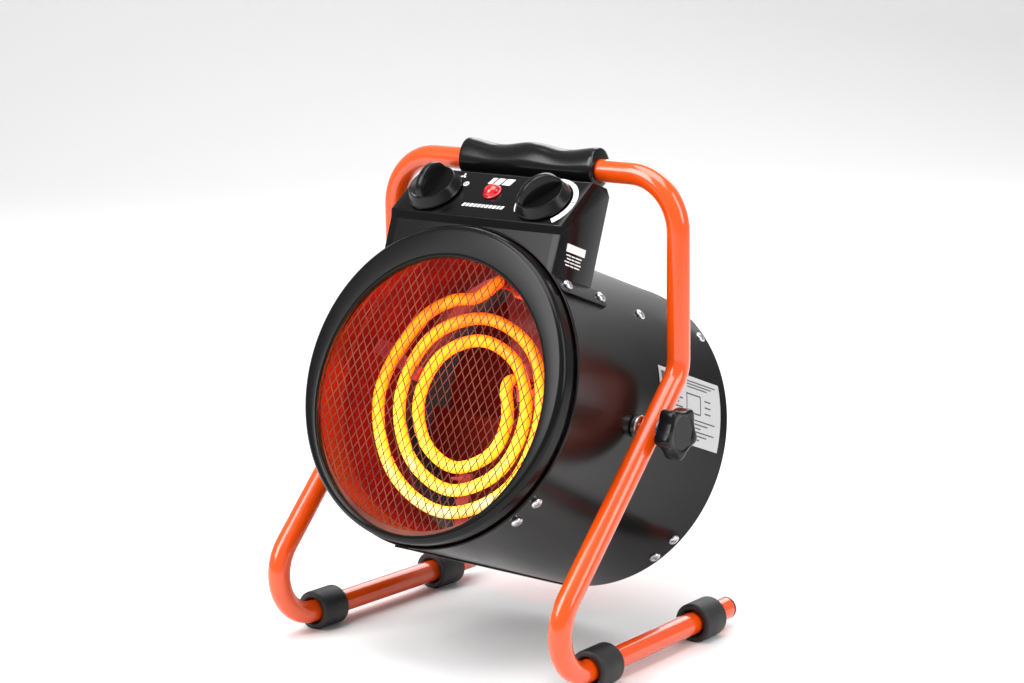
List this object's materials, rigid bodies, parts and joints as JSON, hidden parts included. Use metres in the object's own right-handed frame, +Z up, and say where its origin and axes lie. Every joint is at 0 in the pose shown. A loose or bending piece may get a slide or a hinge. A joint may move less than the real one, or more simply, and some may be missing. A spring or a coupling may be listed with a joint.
{
  "type": "portable fan heater",
  "caption": "Portable drum fan heater: spiral tubular element behind a mesh guard, rear axial fan, control box with two knobs and lamp, tilting in a bent tube stand.",
  "frame": {"origin": "middle of the bounding box in plan, on the floor under the rubber sleeves", "axes": "+Z up, -Y towards the hot-air mouth, +X to the side of the printed label, which is on the right of someone looking into the mouth"},
  "size_m": [0.3004, 0.2688, 0.3477],
  "materials": {
    "orange_powder_coat": "glossy orange powder coat",
    "black_powder_coat": "satin black powder coat",
    "black_plastic": "satin black moulded plastic",
    "knob_plastic": "satin black moulded plastic",
    "rubber": "matt dark rubber",
    "zinc_steel": "bright zinc-plated steel",
    "dark_steel": "dark steel",
    "bright_steel": "plain bright steel sheet",
    "hot_sheath": "sheath of the element, shown glowing orange",
    "fan_metal": "plain pressed aluminium",
    "ceramic": "off-white ceramic",
    "red_lens": "translucent red lens",
    "label_film": "printed silver-white film"
  },
  "bodies": {
    "stand": {"stand_tube": "orange_powder_coat", "handle_grip": "black_plastic", "foot_sleeve_front_right": "rubber", "foot_sleeve_rear_right": "rubber", "foot_plug_right": "black_plastic", "foot_sleeve_front_left": "rubber", "foot_sleeve_rear_left": "rubber", "foot_plug_left": "black_plastic"},
    "drum": {"drum_casing": "black_powder_coat", "front_ring": "black_powder_coat", "rear_grille": "black_powder_coat", "control_cover": "black_powder_coat", "front_guard": "dark_steel", "heat_shield": "bright_steel", "heating_element": "hot_sheath", "terminal_bushing_1": "ceramic", "terminal_bushing_2": "ceramic", "bushing_holder": "bright_steel", "element_support_1": "bright_steel", "element_support_2": "bright_steel", "element_support_3": "bright_steel", "motor_bracket": "bright_steel", "fan_motor": "dark_steel", "mode_switch": "black_plastic", "thermostat": "black_plastic", "pilot_lamp": "red_lens", "terminal_block": "ceramic", "cable_gland": "black_plastic", "thermal_cutout": "zinc_steel", "screw_flange_front_right": "zinc_steel", "screw_flange_rear_right": "zinc_steel", "screw_shield_right": "zinc_steel", "screw_grille_upper_right": "zinc_steel", "screw_ring_upper_right": "zinc_steel", "screw_ring_lower_right": "zinc_steel", "screw_grille_middle_right": "zinc_steel", "screw_grille_lower_right": "zinc_steel", "screw_flange_front_left": "zinc_steel", "screw_flange_rear_left": "zinc_steel", "screw_shield_left": "zinc_steel", "screw_grille_upper_left": "zinc_steel", "screw_ring_upper_left": "zinc_steel", "screw_ring_lower_left": "zinc_steel", "screw_grille_middle_left": "zinc_steel", "screw_grille_lower_left": "zinc_steel", "rating_label": "label_film", "clamp_stud_right": "zinc_steel", "pivot_spacer_right": "zinc_steel", "clamp_stud_left": "zinc_steel", "pivot_spacer_left": "zinc_steel"},
    "mode_dial": {"mode_spindle": "zinc_steel", "mode_knob": "knob_plastic"},
    "thermostat_dial": {"thermostat_spindle": "zinc_steel", "thermostat_knob": "knob_plastic"},
    "fan": {"motor_shaft": "bright_steel", "fan_rotor": "fan_metal"},
    "right_washer": {"clamp_washer_right": "zinc_steel"},
    "left_washer": {"clamp_washer_left": "zinc_steel"},
    "right_clamp_knob": {"star_knob_right": "knob_plastic"},
    "left_clamp_knob": {"star_knob_left": "knob_plastic"}
  },
  "joints": [
    {"name": "drum_tilt", "type": "hinge", "parent": "stand", "child": "drum", "pos_m": [0, -0.01269, 0.165], "axis": [-1, 0, 0], "range_deg": [-40, 0]},
    {"name": "mode_turn", "type": "hinge", "parent": "drum", "child": "mode_dial", "pos_m": [-0.047, -0.02747, 0.31479], "axis": [0, -0.5607, 0.828], "range_deg": [-135, 45]},
    {"name": "thermostat_turn", "type": "hinge", "parent": "drum", "child": "thermostat_dial", "pos_m": [0.047, -0.02747, 0.31479], "axis": [0, -0.5607, 0.828], "range_deg": [-200, 70]},
    {"name": "fan_spin", "type": "hinge", "parent": "drum", "child": "fan", "pos_m": [0, 41.11964, -15.45971], "axis": [0, -0.9348, 0.3551], "continuous": true},
    {"name": "right_washer_slide", "type": "slide", "parent": "drum", "child": "right_washer", "axis": [1, 0, 0], "range_m": [0, 0.0019]},
    {"name": "right_clamp_turn", "type": "hinge", "parent": "right_washer", "child": "right_clamp_knob", "pos_m": [0.134, -0.01269, 0.165], "axis": [1, 0, 0], "range_deg": [0, 540]},
    {"name": "left_washer_slide", "type": "slide", "parent": "drum", "child": "left_washer", "axis": [-1, 0, 0], "range_m": [0, 0.0019]},
    {"name": "left_clamp_turn", "type": "hinge", "parent": "left_washer", "child": "left_clamp_knob", "pos_m": [-0.134, -0.01269, 0.165], "axis": [-1, 0, 0], "range_deg": [0, 540]}
  ],
  "couplings": [
    {"joint": "right_washer_slide", "follows": "right_clamp_turn", "m_per_rad": 0.00019894},
    {"joint": "left_washer_slide", "follows": "left_clamp_turn", "m_per_rad": 0.00019894}
  ]
}
